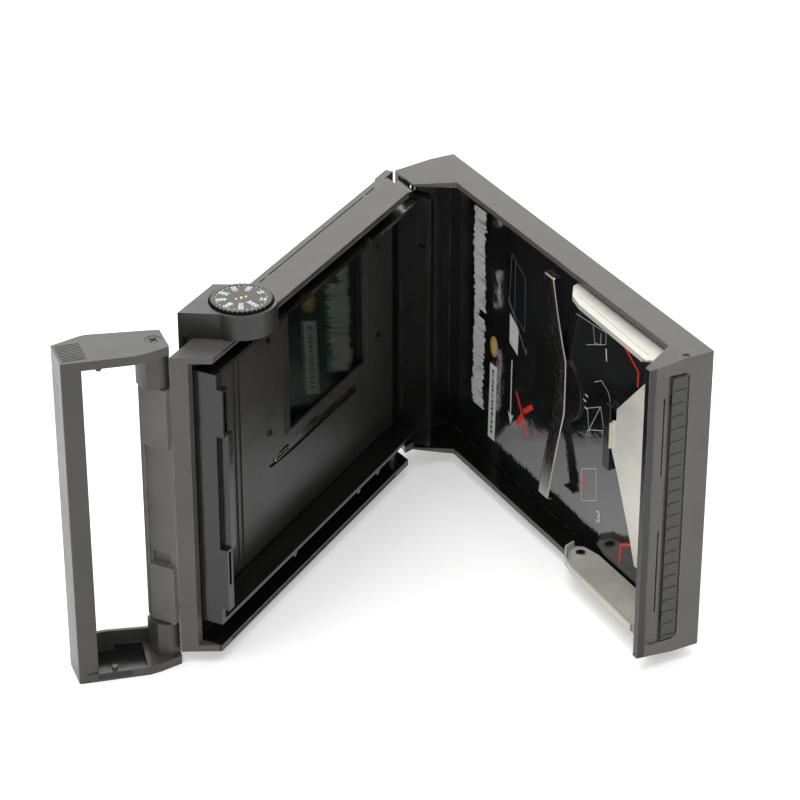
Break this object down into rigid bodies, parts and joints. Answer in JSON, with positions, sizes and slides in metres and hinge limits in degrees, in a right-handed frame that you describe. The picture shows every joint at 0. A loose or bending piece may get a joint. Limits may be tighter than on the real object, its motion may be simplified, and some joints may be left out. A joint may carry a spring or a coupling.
{
  "type": "instant film pack holder",
  "caption": "Hinged instant-film back for a medium-format camera, standing open: body with film gate, cover with rollers, locking bail and film-speed dial.",
  "frame": {"origin": "centre of the film window on the camera mounting face, which is the centre of the four fastening holes", "axes": "+X along the holder from the hinge end to the exit end, +Y from the camera side towards the closed cover, +Z across the film, upwards as the holder stands"},
  "size_m": [0.2223, 0.1989, 0.1355],
  "materials": {
    "shell_black": "fine satin grain",
    "inside_black": "smooth",
    "dial_black": "satin",
    "dark_sheet": "satin black paint",
    "label_gloss": "high gloss",
    "plated_steel": "zinc plated, satin",
    "spring_steel": "polished strip",
    "roller_steel": "ground",
    "screw_steel": "blackened",
    "brass": "turned",
    "foam": "light-tight foam",
    "clear_glass": "polished",
    "red_paint": "gloss"
  },
  "bodies": {
    "body": {"body_shell": "shell_black", "grip_housing": "shell_black", "mount_plate": "dark_sheet", "plate_screws": "screw_steel", "light_seal": "foam", "film_gate_plate": "dark_sheet", "gate_screws": "screw_steel", "gate_wire": "spring_steel", "glass_plate": "clear_glass", "glass_clips": "dark_sheet", "inner_frame": "inside_black", "hinge_block": "inside_black", "hinge_screws": "screw_steel", "hinge_pin": "roller_steel", "contact_block": "dial_black", "contact_pins": "brass", "dial_housing": "shell_black", "dial_base": "shell_black", "dial_screws": "screw_steel", "detent_ball": "roller_steel", "detent_spring": "spring_steel", "bail_screws": "screw_steel"},
    "dial": {"iso_dial": "dial_black", "dial_face": "dial_black", "dial_shaft": "brass", "speed_disc": "dial_black"},
    "dark_slide": {"dark_slide": "dark_sheet"},
    "bail": {"latch_bail": "shell_black"},
    "cover": {"cover_shell": "shell_black", "index_stud": "red_paint", "label_plate": "label_gloss", "spring_base": "dark_sheet", "pack_spring": "spring_steel", "spring_rivets": "screw_steel", "roller_frame": "plated_steel", "film_guide_plate": "plated_steel", "spread_block": "inside_black", "frame_pins": "roller_steel", "roller_bushes": "brass", "roller_springs": "spring_steel"},
    "exit_flap": {"exit_flap": "shell_black"},
    "inner_roller": {"inner_roller": "roller_steel"},
    "outer_roller": {"outer_roller": "roller_steel"}
  },
  "joints": [
    {"name": "cover_hinge", "type": "hinge", "parent": "body", "child": "cover", "pos_m": [-0.0684, 0.0078, 0], "axis": [0, 0, 1], "range_deg": [-55, 5]},
    {"name": "bail_pivot", "type": "hinge", "parent": "body", "child": "bail", "pos_m": [0.1055, -0.0039, 0], "axis": [0, 0, 1], "range_deg": [-20, 105.9]},
    {"name": "dark_slide_pull", "type": "slide", "parent": "body", "child": "dark_slide", "axis": [0, 0, 1], "range_m": [0, 0.1]},
    {"name": "dial_turn", "type": "hinge", "parent": "body", "child": "dial", "pos_m": [0.0745, 0.0132, 0], "axis": [0, 0, 1], "range_deg": [-150, 150]},
    {"name": "flap_hinge", "type": "hinge", "parent": "cover", "child": "exit_flap", "pos_m": [0.02949, 0.15631, 0], "axis": [0, 0, -1], "range_deg": [0, 35]},
    {"name": "outer_roller_spin", "type": "hinge", "parent": "cover", "child": "outer_roller", "pos_m": [0.02283, 0.15597, 0], "axis": [0, 0, 1], "continuous": true},
    {"name": "inner_roller_spin", "type": "hinge", "parent": "cover", "child": "inner_roller", "pos_m": [0.02783, 0.15247, 0], "axis": [0, 0, 1], "continuous": true}
  ],
  "couplings": [
    {"joint": "inner_roller_spin", "follows": "outer_roller_spin", "ratio": -1}
  ]
}
